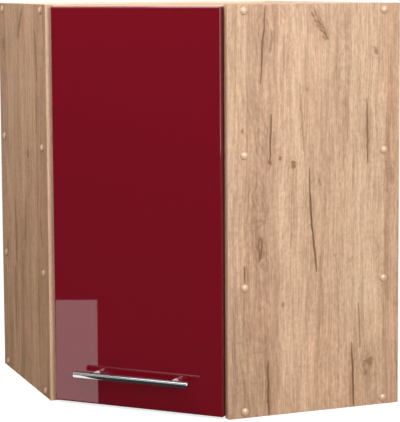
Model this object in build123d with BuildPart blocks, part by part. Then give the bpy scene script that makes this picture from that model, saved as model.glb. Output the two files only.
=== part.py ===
"""Diagonal corner wall cabinet with one door.

Millimetres. X runs to the right along the door, Y from the door back to the corner of the two
walls, Z up. The origin lies on the underside, below the middle of the cabinet's box.
"""
from build123d import *
import os
from math import sqrt

# ---------------------------------------------------------------- driving dimensions
# Carcase
WALL_LENGTH = 600.0  # from the wall corner to each side panel's outer face
HEIGHT = 746.0
SIDE_DEPTH = 342.0  # from the wall to a side panel's front edge
BOARD = 16.0  # chipboard
EDGING = 1.0  # edge band on every front edge
BACK = 3.0  # hardboard back panels
WALL_GAP = 16.0  # free space between the wall and a back panel
END_INSET = 3.5  # the side panels run past the top, the bottom and the door by this much
LOWER_SHELF_HEIGHT = 238.0  # middle of the board above the underside
UPPER_SHELF_HEIGHT = 477.0
GROOVE_DEPTH = 8.0
GROOVE_CLEARANCE = 0.2  # on each face of a back panel
GROOVE_END_CLEARANCE = 1.0

# Carcase screws and their cover caps
SCREW_EDGE = 32.0  # from the front and rear edges of a side panel
SCREW_LENGTH = 50.0
SCREW_SHANK = 7.0
SCREW_CORE = 5.0
SCREW_SHOULDER = 11.0  # length of the smooth shank below the head
SCREW_HEAD = 10.0
SCREW_CLEARANCE = 0.05
SCREW_SOCKET = 4.0
SCREW_SOCKET_DEPTH = 3.0
CAP_DIAMETER = 15.0
CAP_HEIGHT = 4.0
CAP_RIM = 1.0  # straight edge of the cap below its dome

# Nails of the back panels
NAIL_SHANK = 1.6
NAIL_HEAD = 3.6
NAIL_HEAD_HEIGHT = 0.6
NAIL_LENGTH = 20.0
NAIL_EDGE = 40.0  # from the ends of a board's rear edge
NAILS_PER_EDGE = 3
NAIL_CLEARANCE = 0.03

# Door
DOOR_THICKNESS = 16.0
DOOR_SIDE_GAP = 0.7  # to the inner front corner of each side panel
DOOR_PROUD = 2.5  # in front of the side panels' outer front corners
DOOR_BACK_GAP = 5.4  # to the front edges of the boards, free for the door's turning corner
DOOR_EDGE_RADIUS = 3.0
BUMPER_DIAMETER = 10.0
BUMPER_GAP = 0.3  # to the board it stops against
BUMPER_ROUNDING = 3.0
BUMPER_EDGE = 16.0  # from the door's closing edge

# Handle
BAR_DIAMETER = 12.5
BAR_LENGTH = 232.0
BAR_END_BEVEL = 0.8
BAR_HEIGHT = 60.0  # axis above the door's lower edge
BAR_STANDOFF = 27.0  # axis in front of the door
POST_SPACING = 160.0
POST_DIAMETER = 8.0
POST_SEAT = 2.5  # how far a post is let into the bar
POST_CLEARANCE = 0.05
HANDLE_SCREW = 4.0
HANDLE_SCREW_HEAD = 8.5
HANDLE_SCREW_HEAD_HEIGHT = 2.6
HANDLE_SCREW_GRIP = 9.0  # length held in a post
HANDLE_SCREW_CLEARANCE = 0.5  # hole in the door, on the diameter

# Concealed hinges, on the left
HINGE_HEIGHT = 97.0  # cup centre from the door's upper and lower edges
CUP_DIAMETER = 35.0
CUP_DEPTH = 12.5
CUP_EDGE = 4.5  # from the door's edge to the cup's bore
CUP_CLEARANCE = 0.1  # on the radius and under the cup
CUP_WALL = 1.4
CUP_FLOOR = 0.8
CUP_POCKET = 15.0  # width of the opening for the arm
FLANGE = 1.2
FLANGE_RIM = 1.5  # beyond the cup
FLANGE_EAR = 6.0  # radius round each flange screw
FLANGE_SCREW_SPACING = 48.0
FLANGE_SCREW_OFFSET = 6.0  # from the cup's centre towards the door's middle
PIVOT_EDGE = 10.4  # pivot axis from the door's hinge edge
PIVOT_FRONT = 7.5  # pivot axis behind the door's front
PIN_DIAMETER = 2.5
PIN_SEAT = 2.5  # length held in each wall of the cup
PIN_RUNNING_CLEARANCE = 0.05
PIN_SEAT_CLEARANCE = 0.02
ARM_SHEET = 2.2
ARM_WIDTH = 12.0
EYE_DIAMETER = 5.4
NOSE_REACH = 15.2  # pivot to the upright of the gooseneck
NOSE_DROP = 1.0
NOSE_RISE = 15.4  # pivot to the crossing of the gooseneck
NOSE_LOWER_BEND = 3.5
NOSE_UPPER_BEND = 11.0
NOSE_RETURN = 8.0  # how far the crossing runs past the pivot
ARM_BEND = 6.0
ARM_LENGTH = 54.0  # straight part along the side panel
CHEEK = 1.2  # side walls of the arm's channel
CHEEK_START = 10.0  # from the start of the straight part
MOUNT_LINE = 37.0  # screw line of the mounting plates behind the side panel's front edge
MOUNT_SCREW_SPACING = 32.0
MOUNT_WING = 2.5
MOUNT_WING_WIDTH = 15.0
MOUNT_WING_HEIGHT = 46.0
MOUNT_WING_CORNER = 4.0
MOUNT_FRONT = 21.0  # ridge in front of and behind the screw line
MOUNT_REAR = 19.0
MOUNT_CLEARANCE = 0.15  # between the arm's channel and the ridge
ARM_SCREW = 6.0
ARM_SCREW_HEAD = 9.0
ARM_SCREW_HEAD_HEIGHT = 2.4
ARM_SCREW_DEPTH = 5.0  # in the mounting plate
FIXING_SCREW_BACK = 13.0  # behind the mounting line
ADJUSTER_FRONT = 10.0  # in front of the mounting line
ADJUSTER = 5.0
ADJUSTER_LENGTH = 3.4

# Screws of the fittings
CROSS_SLOT = 1.0  # width of a cross slot's arms
WOOD_SCREW = 3.5
WOOD_SCREW_HEAD = 5.8
CUP_SCREW_LENGTH = 14.0
PLATE_SCREW = 5.0
PLATE_SCREW_HEAD = 8.0
PLATE_SCREW_LENGTH = 13.5
PILOT_CLEARANCE = 0.05  # round a screw, on the radius
PILOT_END = 0.5  # beyond a screw's tip

# Hanging brackets in the upper rear corners
BRACKET_DEPTH = 44.0
BRACKET_WIDTH = 18.0
BRACKET_HEIGHT = 58.0
BRACKET_DROP = 4.5  # below the top board
BRACKET_CORNER = 2.0
BRACKET_WALL = 11.0  # in front of the channel for the hook
HOOK_SHEET = 3.0
HOOK_SLACK = 0.3  # on each side of the hook
HOOK_TAIL_HEIGHT = 18.0
HOOK_NOSE_HEIGHT = 11.0
HOOK_LIP = 3.0
HOOK_LIP_DROP = 9.0  # below the nose
HOOK_WALL_GAP = 3.0  # from the lip to the wall
HOOK_TRAVEL = 6.0  # up and down from the middle
HOOK_END_CLEARANCE = 0.5
HOOK_ROOT = 2.0  # from the back panel to where the hook widens inside the housing
HOOK_WINDOW = 12.0  # width of the cut-out in the back panel
BRACKET_ADJUSTER = 8.0
BRACKET_ADJUSTER_LENGTH = 7.0
BRACKET_ADJUSTER_EDGE = 17.0  # from the upper and lower ends of the housing
BRACKET_SCREW_EDGE = 7.0
BRACKET_SCREW_LENGTH = 30.0

# ---------------------------------------------------------------- derived places
half_front = (WALL_LENGTH - SIDE_DEPTH) / sqrt(2)  # middle to a side panel's outer front corner
corner_depth = (WALL_LENGTH + SIDE_DEPTH) / sqrt(2)  # front corners back to the wall corner
rear_reach = corner_depth - WALL_GAP * sqrt(2)  # front corners back to the back panels' corner
front_reach = DOOR_PROUD + BAR_STANDOFF + BAR_DIAMETER / 2
front_y = (front_reach - rear_reach) / 2  # the side panels' outer front corners
wall_y = front_y + corner_depth
door_front_y = front_y - DOOR_PROUD
door_back_y = door_front_y + DOOR_THICKNESS
board_front_y = door_back_y + DOOR_BACK_GAP
inner_corner_x = half_front - BOARD / sqrt(2)  # a side panel's inner front corner
inner_corner_y = front_y + BOARD / sqrt(2)
door_half = inner_corner_x - DOOR_SIDE_GAP
door_bottom_z = END_INSET
door_top_z = HEIGHT - END_INSET
side_face = WALL_LENGTH - BOARD  # a side panel's inner face, from the wall corner
back_face = WALL_GAP + BACK  # a back panel's inner face, from its wall

bottom_z = END_INSET
top_z = HEIGHT - END_INSET - BOARD
lower_shelf_z = LOWER_SHELF_HEIGHT - BOARD / 2
upper_shelf_z = UPPER_SHELF_HEIGHT - BOARD / 2
board_levels = [bottom_z, lower_shelf_z, upper_shelf_z, top_z]  # undersides
screw_heights = [z + BOARD / 2 for z in board_levels]
screw_depths = [SCREW_EDGE, SIDE_DEPTH - SCREW_EDGE]  # from the wall

# Plan of the cabinet: x along the left wall and y along the right wall, from the wall corner
PLAN = Plane(origin=(0, wall_y, 0), x_dir=(-1, -1, 0), z_dir=(0, 0, 1))
TO_LEFT = PLAN.x_dir  # along the left wall, out of the left side panel
TO_RIGHT = PLAN.y_dir  # along the right wall, out of the right side panel


def plan_point(from_right_wall, from_left_wall, z):
    """A point by its distances from the two walls and its height."""
    return PLAN.from_local_coords(Vector(from_right_wall, from_left_wall, z))


def frame_facing(direction, from_right_wall, from_left_wall, z):
    """Frame at a plan point, x upwards and z along a level direction."""
    return Plane(origin=plan_point(from_right_wall, from_left_wall, z), x_dir=(0, 0, 1), z_dir=direction)


os.makedirs("parts", exist_ok=True)


def save(piece, name):
    piece.part.label = name
    export_step(piece.part, f"parts/{name}.step")


def countersunk_screw(head, shank, length):
    """A screw along -Z with the face of its head at the origin."""
    with BuildPart() as screw:
        with BuildSketch(Plane.XZ):
            with BuildLine():
                Polyline(
                    (0, 0),
                    (head / 2, 0),
                    (shank / 2, -(head - shank) / 2),
                    (shank / 2, -length + shank / 2),
                    (0, -length),
                    close=True,
                )
            make_face()
        revolve(axis=Axis.Z)
    return screw.part


def place_all(piece, frames, name):
    """Write one node that holds a copy of the piece at each frame."""
    with BuildPart() as group:
        with Locations(*frames):
            add(piece)
    save(group, name)
    return group


# ---------------------------------------------------------------- side panels
right_screw_frames = [
    frame_facing(TO_RIGHT, depth, WALL_LENGTH, z) for depth in screw_depths for z in screw_heights
]

bracket_top = top_z - BRACKET_DROP
bracket_low = bracket_top - BRACKET_HEIGHT
bracket_middle = (bracket_top + bracket_low) / 2
bracket_front = back_face + BRACKET_DEPTH  # from the wall
bracket_screw_frames = [
    frame_facing(-TO_RIGHT, bracket_front - BRACKET_SCREW_EDGE, side_face - BRACKET_WIDTH, z)
    for z in (bracket_low + BRACKET_SCREW_EDGE, bracket_top - BRACKET_SCREW_EDGE)
]

with BuildPart() as right_side:
    with BuildSketch(PLAN):
        with Locations((0, side_face)):
            Rectangle(SIDE_DEPTH - EDGING, BOARD, align=(Align.MIN, Align.MIN))
    extrude(amount=HEIGHT)
    # groove for the back panel, open at both ends
    with BuildSketch(PLAN):
        with Locations((WALL_GAP - GROOVE_CLEARANCE, side_face)):
            Rectangle(BACK + 2 * GROOVE_CLEARANCE, GROOVE_DEPTH, align=(Align.MIN, Align.MIN))
    extrude(amount=HEIGHT, mode=Mode.SUBTRACT)
    with Locations(*right_screw_frames):
        CounterSinkHole(
            radius=SCREW_SHANK / 2 + SCREW_CLEARANCE,
            counter_sink_radius=SCREW_HEAD / 2 + SCREW_CLEARANCE,
            depth=BOARD,
            counter_sink_angle=90,
        )
    with Locations(*bracket_screw_frames):
        Hole(radius=WOOD_SCREW / 2 + PILOT_CLEARANCE, depth=BRACKET_SCREW_LENGTH + PILOT_END)
save(right_side, "right_side")

# ---------------------------------------------------------------- places of the hinges
hinge_heights = {"upper": door_top_z - HINGE_HEIGHT, "lower": door_bottom_z + HINGE_HEIGHT}


def mounting_frame(z):
    """Frame on the left side panel's inner face, x towards the wall and z into the cabinet."""
    return Plane(
        origin=plan_point(side_face, SIDE_DEPTH - MOUNT_LINE, z),
        x_dir=-TO_RIGHT,
        z_dir=-TO_LEFT,
    )


with BuildPart() as left_side:
    mirror(right_side.part, about=Plane.YZ)
    for z in hinge_heights.values():
        with Locations(mounting_frame(z)):
            with GridLocations(0, MOUNT_SCREW_SPACING, 1, 2):
                Hole(
                    radius=PLATE_SCREW / 2 + PILOT_CLEARANCE,
                    depth=PLATE_SCREW_LENGTH - MOUNT_WING + PILOT_END,
                )
save(left_side, "left_side")

with BuildPart() as right_side_edging:
    with BuildSketch(PLAN):
        with Locations((SIDE_DEPTH - EDGING, side_face)):
            Rectangle(EDGING, BOARD, align=(Align.MIN, Align.MIN))
    extrude(amount=HEIGHT)
save(right_side_edging, "right_side_edging")

with BuildPart() as left_side_edging:
    mirror(right_side_edging.part, about=Plane.YZ)
save(left_side_edging, "left_side_edging")

# ---------------------------------------------------------------- five-sided boards
front_cut = (wall_y - board_front_y) * sqrt(2) - side_face  # where the front line meets a side panel
edging_cut = front_cut - EDGING * sqrt(2)
board_rear = side_face - back_face  # length of a board's rear edge
nail_step = (board_rear - 2 * NAIL_EDGE) / (NAILS_PER_EDGE - 1)
nail_places = [back_face + NAIL_EDGE + i * nail_step for i in range(NAILS_PER_EDGE)]


def board_outline(front):
    """Sketch of a board whose front edge meets the side panels at this distance from the walls."""
    with BuildSketch() as outline:
        with BuildLine():
            Polyline(
                (back_face, back_face),
                (side_face, back_face),
                (side_face, front),
                (front, side_face),
                (back_face, side_face),
                close=True,
            )
        make_face()
    return outline.sketch


def nail_frames(heights):
    """Frames on the rear faces of both back panels, z pointing at the wall."""
    right = [frame_facing(-TO_LEFT, WALL_GAP, along, z) for along in nail_places for z in heights]
    left = [frame_facing(-TO_RIGHT, along, WALL_GAP, z) for along in nail_places for z in heights]
    return right + left


def build_board(name, low):
    middle = low + BOARD / 2
    with BuildPart() as board:
        with BuildSketch(PLAN.offset(low)):
            add(board_outline(edging_cut))
        extrude(amount=BOARD)
        # pilot holes for the carcase screws, from both side panels
        for depth in screw_depths:
            with BuildSketch(frame_facing(TO_RIGHT, depth, side_face, middle)):
                Circle(SCREW_CORE / 2 + SCREW_CLEARANCE)
            core = extrude(amount=-(SCREW_LENGTH - BOARD + 1), mode=Mode.SUBTRACT)
            mirror(core, about=Plane.YZ, mode=Mode.SUBTRACT)
        with Locations(*nail_frames([middle])):
            Hole(radius=NAIL_SHANK / 2 + NAIL_CLEARANCE, depth=NAIL_LENGTH + 1)
    save(board, name)

    with BuildPart() as edging:
        with BuildSketch(PLAN.offset(low)):
            add(board_outline(front_cut))
            add(board_outline(edging_cut), mode=Mode.SUBTRACT)
        extrude(amount=BOARD)
    save(edging, name + "_edging")


build_board("bottom_board", bottom_z)
build_board("lower_shelf", lower_shelf_z)
build_board("upper_shelf", upper_shelf_z)
build_board("top_board", top_z)


# ---------------------------------------------------------------- carcase screws and cover caps
with BuildPart() as carcase_screw:
    with BuildSketch(Plane.XZ):
        with BuildLine():
            head_depth = (SCREW_HEAD - SCREW_SHANK) / 2
            shoulder = head_depth + SCREW_SHOULDER
            Polyline(
                (0, 0),
                (SCREW_HEAD / 2, 0),
                (SCREW_SHANK / 2, -head_depth),
                (SCREW_SHANK / 2, -shoulder),
                (SCREW_CORE / 2, -shoulder),
                (SCREW_CORE / 2, -SCREW_LENGTH + SCREW_CORE / 2),
                (0, -SCREW_LENGTH),
                close=True,
            )
        make_face()
    revolve(axis=Axis.Z)
    with BuildSketch():
        RegularPolygon(radius=SCREW_SOCKET / 2, side_count=6, major_radius=False)
    extrude(amount=-SCREW_SOCKET_DEPTH, mode=Mode.SUBTRACT)
right_screws = place_all(carcase_screw.part, right_screw_frames, "right_carcase_screws")

with BuildPart() as left_screws:
    mirror(right_screws.part, about=Plane.YZ)
save(left_screws, "left_carcase_screws")

dome_height = CAP_HEIGHT - CAP_RIM
dome_radius = ((CAP_DIAMETER / 2) ** 2 + dome_height**2) / (2 * dome_height)
with BuildPart() as cover_cap:
    with BuildSketch(Plane.XZ):
        with BuildLine():
            Polyline((0, CAP_HEIGHT), (0, 0), (CAP_DIAMETER / 2, 0), (CAP_DIAMETER / 2, CAP_RIM))
            RadiusArc((CAP_DIAMETER / 2, CAP_RIM), (0, CAP_HEIGHT), -dome_radius)
        make_face()
    revolve(axis=Axis.Z)
right_caps = place_all(cover_cap.part, right_screw_frames, "right_cover_caps")

with BuildPart() as left_caps:
    mirror(right_caps.part, about=Plane.YZ)
save(left_caps, "left_cover_caps")

# ---------------------------------------------------------------- back panels
groove_end = side_face + GROOVE_DEPTH - GROOVE_END_CLEARANCE
hook_from_left = side_face - BRACKET_WIDTH / 2  # middle of the right hook, from the left wall
window_height = HOOK_TAIL_HEIGHT + 2 * HOOK_TRAVEL + HOOK_LIP_DROP + 2 * HOOK_END_CLEARANCE

with BuildPart() as right_back:
    with BuildSketch(PLAN):
        with Locations((WALL_GAP, WALL_GAP)):
            Rectangle(BACK, groove_end - WALL_GAP, align=(Align.MIN, Align.MIN))
    extrude(amount=HEIGHT)
    with Locations(*nail_frames(screw_heights)):
        Hole(radius=NAIL_SHANK / 2 + NAIL_CLEARANCE, depth=NAIL_LENGTH)
    with BuildSketch(frame_facing(-TO_LEFT, WALL_GAP, hook_from_left, bracket_middle)):
        Rectangle(window_height, HOOK_WINDOW)
    extrude(amount=-BACK, mode=Mode.SUBTRACT)
save(right_back, "right_back")

with BuildPart() as left_back:
    with BuildSketch(PLAN):
        with Locations((back_face, WALL_GAP)):
            Rectangle(groove_end - back_face, BACK, align=(Align.MIN, Align.MIN))
    extrude(amount=HEIGHT)
    with Locations(*nail_frames(screw_heights)):
        Hole(radius=NAIL_SHANK / 2 + NAIL_CLEARANCE, depth=NAIL_LENGTH)
    with BuildSketch(frame_facing(-TO_RIGHT, hook_from_left, WALL_GAP, bracket_middle)):
        Rectangle(window_height, HOOK_WINDOW)
    extrude(amount=-BACK, mode=Mode.SUBTRACT)
save(left_back, "left_back")

with BuildPart() as nail:
    with BuildSketch():
        Circle(NAIL_SHANK / 2)
    extrude(amount=-NAIL_LENGTH)
    with BuildSketch():
        Circle(NAIL_HEAD / 2)
    extrude(amount=NAIL_HEAD_HEIGHT)
place_all(nail.part, nail_frames(screw_heights), "back_nails")

# ---------------------------------------------------------------- door
cup_x = -door_half + CUP_EDGE + CUP_DIAMETER / 2
bar_z = door_bottom_z + BAR_HEIGHT
bumper_x = door_half - BUMPER_EDGE


def door_back_frame(x, z):
    """Frame on the door's back, z pointing into the cabinet and x to the right."""
    return Plane(origin=(x, door_back_y, z), x_dir=(1, 0, 0), z_dir=(0, 1, 0))


def cup_screw_frames(z):
    x = cup_x + FLANGE_SCREW_OFFSET
    return [door_back_frame(x, z + side * FLANGE_SCREW_SPACING / 2) for side in (-1, 1)]


with BuildPart() as door:
    with BuildSketch(Plane.XY.offset(door_bottom_z)):
        with Locations((0, door_front_y)):
            Rectangle(2 * door_half, DOOR_THICKNESS, align=(Align.CENTER, Align.MIN))
    extrude(amount=door_top_z - door_bottom_z)
    fillet(door.faces().sort_by(Axis.Y)[0].edges(), radius=DOOR_EDGE_RADIUS)
    for z in hinge_heights.values():
        with Locations(door_back_frame(cup_x, z)):
            Hole(radius=CUP_DIAMETER / 2, depth=CUP_DEPTH)
        with Locations(*cup_screw_frames(z)):
            Hole(radius=WOOD_SCREW / 2 + PILOT_CLEARANCE, depth=CUP_SCREW_LENGTH - FLANGE + PILOT_END)
    with Locations(door_back_frame(0, bar_z)):
        with GridLocations(POST_SPACING, 0, 2, 1):
            Hole(radius=(HANDLE_SCREW + HANDLE_SCREW_CLEARANCE) / 2)
save(door, "door")

bumper_frames = [door_back_frame(bumper_x, z) for z in (screw_heights[0], screw_heights[-1])]
with BuildPart() as bumper:
    with BuildSketch():
        Circle(BUMPER_DIAMETER / 2)
    extrude(amount=DOOR_BACK_GAP - BUMPER_GAP)
    fillet(bumper.faces().sort_by(Axis.Z)[-1].edges(), radius=BUMPER_ROUNDING)
place_all(bumper.part, bumper_frames, "door_bumpers")

# ---------------------------------------------------------------- handle
bar_y = door_front_y - BAR_STANDOFF
post_top_y = bar_y + BAR_DIAMETER / 2 - POST_SEAT  # where a post ends inside the bar

with BuildPart() as handle_bar:
    with BuildSketch(Plane(origin=(-BAR_LENGTH / 2, bar_y, bar_z), x_dir=(0, 1, 0), z_dir=(1, 0, 0))):
        Circle(BAR_DIAMETER / 2)
    extrude(amount=BAR_LENGTH)
    chamfer(handle_bar.edges().filter_by(GeomType.CIRCLE), length=BAR_END_BEVEL)
    with BuildSketch(Plane(origin=(0, post_top_y, bar_z), x_dir=(1, 0, 0), z_dir=(0, 1, 0))):
        with GridLocations(POST_SPACING, 0, 2, 1):
            Circle(POST_DIAMETER / 2 + POST_CLEARANCE)
    extrude(amount=BAR_DIAMETER, mode=Mode.SUBTRACT)
save(handle_bar, "handle_bar")


def build_post(name, x):
    with BuildPart() as post:
        with BuildSketch(Plane(origin=(x, post_top_y, bar_z), x_dir=(1, 0, 0), z_dir=(0, 1, 0))):
            Circle(POST_DIAMETER / 2)
        extrude(amount=door_front_y - post_top_y)
        with BuildSketch(Plane(origin=(x, door_front_y, bar_z), x_dir=(1, 0, 0), z_dir=(0, 1, 0))):
            Circle(HANDLE_SCREW / 2)
        extrude(amount=-(HANDLE_SCREW_GRIP + 1), mode=Mode.SUBTRACT)
    save(post, name)


build_post("left_handle_post", -POST_SPACING / 2)
build_post("right_handle_post", POST_SPACING / 2)

with BuildPart() as handle_screw:
    with BuildSketch():
        Circle(HANDLE_SCREW / 2)
    extrude(amount=-(DOOR_THICKNESS + HANDLE_SCREW_GRIP))
    with BuildSketch():
        Circle(HANDLE_SCREW_HEAD / 2)
    extrude(amount=HANDLE_SCREW_HEAD_HEIGHT)
    fillet(handle_screw.faces().sort_by(Axis.Z)[-1].edges(), radius=HANDLE_SCREW_HEAD_HEIGHT / 2)
handle_screw_frames = [door_back_frame(side * POST_SPACING / 2, bar_z) for side in (-1, 1)]
place_all(handle_screw.part, handle_screw_frames, "handle_screws")

# ---------------------------------------------------------------- concealed corner hinges
pivot_x = -door_half + PIVOT_EDGE
pivot_y = door_front_y + PIVOT_FRONT
arm_start = Vector(pivot_x - NOSE_RETURN, pivot_y + NOSE_RISE, 0)
arm_direction = -TO_RIGHT
arm_rise = (arm_start - plan_point(side_face, SIDE_DEPTH, 0)).dot(-TO_LEFT)  # above the side panel
arm_run = (arm_start - plan_point(side_face, SIDE_DEPTH, 0)).dot(arm_direction)  # behind its front edge
ridge_height = arm_rise - ARM_SHEET / 2 - MOUNT_CLEARANCE
arm_end = arm_start + arm_direction * ARM_LENGTH


def hinge_plane(z):
    """Level plane with its origin on the pivot axis."""
    return Plane(origin=(pivot_x, pivot_y, z))


def build_cup(name, z):
    mouth = door_back_frame(cup_x, z)
    ear_y = FLANGE_SCREW_SPACING / 2
    with BuildPart() as cup:
        with BuildSketch(mouth):
            Circle(CUP_DIAMETER / 2 - CUP_CLEARANCE)
        extrude(amount=-(CUP_DEPTH - CUP_CLEARANCE))
        with BuildSketch(mouth):
            with BuildSketch(mode=Mode.PRIVATE) as rim:
                Circle(CUP_DIAMETER / 2 + FLANGE_RIM)
                with Locations((FLANGE_SCREW_OFFSET, -ear_y), (FLANGE_SCREW_OFFSET, ear_y)):
                    Circle(FLANGE_EAR)
            make_hull(rim.sketch.edges())
        extrude(amount=FLANGE)
        # pocket for the arm, open over the flange
        with BuildSketch(mouth.offset(FLANGE)):
            Circle(CUP_DIAMETER / 2 - CUP_WALL)
            Rectangle(CUP_DIAMETER, CUP_POCKET, mode=Mode.INTERSECT)
        extrude(amount=-(CUP_DEPTH + FLANGE - CUP_CLEARANCE - CUP_FLOOR), mode=Mode.SUBTRACT)
        # seats of the pivot pin in both walls
        with BuildSketch(hinge_plane(z - CUP_POCKET / 2 - PIN_SEAT)):
            Circle(PIN_DIAMETER / 2 + PIN_SEAT_CLEARANCE)
        extrude(amount=CUP_POCKET + 2 * PIN_SEAT, mode=Mode.SUBTRACT)
        with Locations(*[frame.offset(FLANGE) for frame in cup_screw_frames(z)]):
            CounterSinkHole(
                radius=WOOD_SCREW / 2 + PILOT_CLEARANCE,
                counter_sink_radius=WOOD_SCREW_HEAD / 2 + PILOT_CLEARANCE,
                depth=FLANGE,
                counter_sink_angle=90,
            )
    save(cup, name)


def build_arm(name, z):
    top_face = mounting_frame(z).offset(arm_rise + ARM_SHEET / 2)
    cheek_low = MOUNT_WING + MOUNT_CLEARANCE
    with BuildPart() as arm:
        # bent strip: eye, gooseneck out of the cup, crossing and straight part
        with BuildSketch(hinge_plane(z - ARM_WIDTH / 2)):
            with BuildLine():
                FilletPolyline(
                    (0, 0),
                    (NOSE_REACH, -NOSE_DROP),
                    (NOSE_REACH, NOSE_RISE),
                    (arm_start.X - pivot_x, arm_start.Y - pivot_y),
                    (arm_end.X - pivot_x, arm_end.Y - pivot_y),
                    radius=(NOSE_LOWER_BEND, NOSE_UPPER_BEND, ARM_BEND),
                )
            trace(line_width=ARM_SHEET)
            Circle(EYE_DIAMETER / 2)
        extrude(amount=ARM_WIDTH)
        # channel over the mounting plate's ridge
        cheek_offset = (ARM_WIDTH + CHEEK) / 2 + MOUNT_CLEARANCE
        run_start = arm_run + CHEEK_START - MOUNT_LINE
        run_length = ARM_LENGTH - CHEEK_START
        with BuildSketch(mounting_frame(z).offset(arm_rise - ARM_SHEET / 2)):
            with Locations((run_start, 0)):
                Rectangle(run_length, 2 * cheek_offset + CHEEK, align=(Align.MIN, Align.CENTER))
        extrude(amount=ARM_SHEET)
        with BuildSketch(mounting_frame(z).offset(cheek_low)):
            with Locations((run_start, -cheek_offset), (run_start, cheek_offset)):
                Rectangle(run_length, CHEEK, align=(Align.MIN, Align.CENTER))
        extrude(amount=arm_rise - cheek_low)
        with BuildSketch(hinge_plane(z - ARM_WIDTH / 2)):
            Circle(PIN_DIAMETER / 2 + PIN_RUNNING_CLEARANCE)
        extrude(amount=ARM_WIDTH, mode=Mode.SUBTRACT)
        with Locations(top_face):
            with Locations((FIXING_SCREW_BACK, 0)):
                Hole(radius=ARM_SCREW / 2 + PILOT_CLEARANCE, depth=ARM_SHEET)
            with Locations((-ADJUSTER_FRONT, 0)):
                Hole(radius=ADJUSTER / 2 + PILOT_CLEARANCE, depth=ARM_SHEET)
    save(arm, name)


def build_mounting_plate(name, z):
    frame = mounting_frame(z)
    with BuildPart() as plate:
        with BuildSketch(frame):
            RectangleRounded(MOUNT_WING_WIDTH, MOUNT_WING_HEIGHT, MOUNT_WING_CORNER)
        extrude(amount=MOUNT_WING)
        with BuildSketch(frame):
            with Locations((-MOUNT_FRONT, 0)):
                Rectangle(MOUNT_FRONT + MOUNT_REAR, ARM_WIDTH, align=(Align.MIN, Align.CENTER))
        extrude(amount=ridge_height)
        with Locations(frame.offset(MOUNT_WING)):
            with GridLocations(0, MOUNT_SCREW_SPACING, 1, 2):
                CounterSinkHole(
                    radius=PLATE_SCREW / 2 + PILOT_CLEARANCE,
                    counter_sink_radius=PLATE_SCREW_HEAD / 2 + PILOT_CLEARANCE,
                    depth=MOUNT_WING,
                    counter_sink_angle=90,
                )
        with Locations(frame.offset(ridge_height)):
            with Locations((FIXING_SCREW_BACK, 0)):
                Hole(radius=ARM_SCREW / 2 + PILOT_CLEARANCE, depth=ARM_SCREW_DEPTH + PILOT_END)
    save(plate, name)


def build_hinge(which, z):
    """One hinge: cup, pivot pin, gooseneck arm, mounting plate and their screws."""
    build_cup(f"{which}_hinge_cup", z)
    build_arm(f"{which}_hinge_arm", z)
    build_mounting_plate(f"{which}_mounting_plate", z)

    pin_length = CUP_POCKET + 2 * PIN_SEAT
    with BuildPart() as pin:
        with BuildSketch(hinge_plane(z - pin_length / 2)):
            Circle(PIN_DIAMETER / 2)
        extrude(amount=pin_length)
    save(pin, f"{which}_hinge_pin")

    cup_screw = countersunk_screw(WOOD_SCREW_HEAD, WOOD_SCREW, CUP_SCREW_LENGTH)
    cup_frames = [frame.offset(FLANGE) for frame in cup_screw_frames(z)]
    place_all(cup_screw, cup_frames, f"{which}_cup_screws")

    plate_screw = countersunk_screw(PLATE_SCREW_HEAD, PLATE_SCREW, PLATE_SCREW_LENGTH)
    with BuildPart() as plate_screws:
        with Locations(mounting_frame(z).offset(MOUNT_WING)):
            with GridLocations(0, MOUNT_SCREW_SPACING, 1, 2):
                add(plate_screw)
    save(plate_screws, f"{which}_plate_screws")

    arm_top = mounting_frame(z).offset(arm_rise + ARM_SHEET / 2)
    with BuildPart() as fixing_screw:
        with BuildSketch(arm_top):
            with Locations((FIXING_SCREW_BACK, 0)):
                Circle(ARM_SCREW_HEAD / 2)
        extrude(amount=ARM_SCREW_HEAD_HEIGHT)
        with BuildSketch(arm_top):
            with Locations((FIXING_SCREW_BACK, 0)):
                Circle(ARM_SCREW / 2)
        extrude(amount=-(ARM_SHEET + MOUNT_CLEARANCE + ARM_SCREW_DEPTH))
        # cross slot
        with BuildSketch(arm_top.offset(ARM_SCREW_HEAD_HEIGHT)):
            with Locations((FIXING_SCREW_BACK, 0)):
                Rectangle(ARM_SCREW_HEAD * 0.6, CROSS_SLOT)
                Rectangle(CROSS_SLOT, ARM_SCREW_HEAD * 0.6)
        extrude(amount=-ARM_SCREW_HEAD_HEIGHT / 2, mode=Mode.SUBTRACT)
    save(fixing_screw, f"{which}_arm_fixing_screw")

    with BuildPart() as adjuster:
        with BuildSketch(mounting_frame(z).offset(ridge_height)):
            with Locations((-ADJUSTER_FRONT, 0)):
                Circle(ADJUSTER / 2)
        extrude(amount=ADJUSTER_LENGTH)
        with BuildSketch(mounting_frame(z).offset(ridge_height + ADJUSTER_LENGTH)):
            with Locations((-ADJUSTER_FRONT, 0)):
                Rectangle(ADJUSTER * 0.6, CROSS_SLOT)
                Rectangle(CROSS_SLOT, ADJUSTER * 0.6)
        extrude(amount=-ADJUSTER_LENGTH / 3, mode=Mode.SUBTRACT)
    save(adjuster, f"{which}_side_adjuster")


for which, z in hinge_heights.items():
    build_hinge(which, z)

# ---------------------------------------------------------------- hanging brackets
channel_end = bracket_front - BRACKET_WALL
channel_height = HOOK_TAIL_HEIGHT + 2 * HOOK_TRAVEL + 2 * HOOK_END_CLEARANCE
bracket_adjuster_frames = [
    frame_facing(TO_LEFT, bracket_front, hook_from_left, z)
    for z in (bracket_low + BRACKET_ADJUSTER_EDGE, bracket_top - BRACKET_ADJUSTER_EDGE)
]


def save_both(piece, name):
    """Write the right-hand piece and its mirror image on the left."""
    save(piece, "right_" + name)
    with BuildPart() as opposite:
        mirror(piece.part, about=Plane.YZ)
    save(opposite, "left_" + name)


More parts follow.
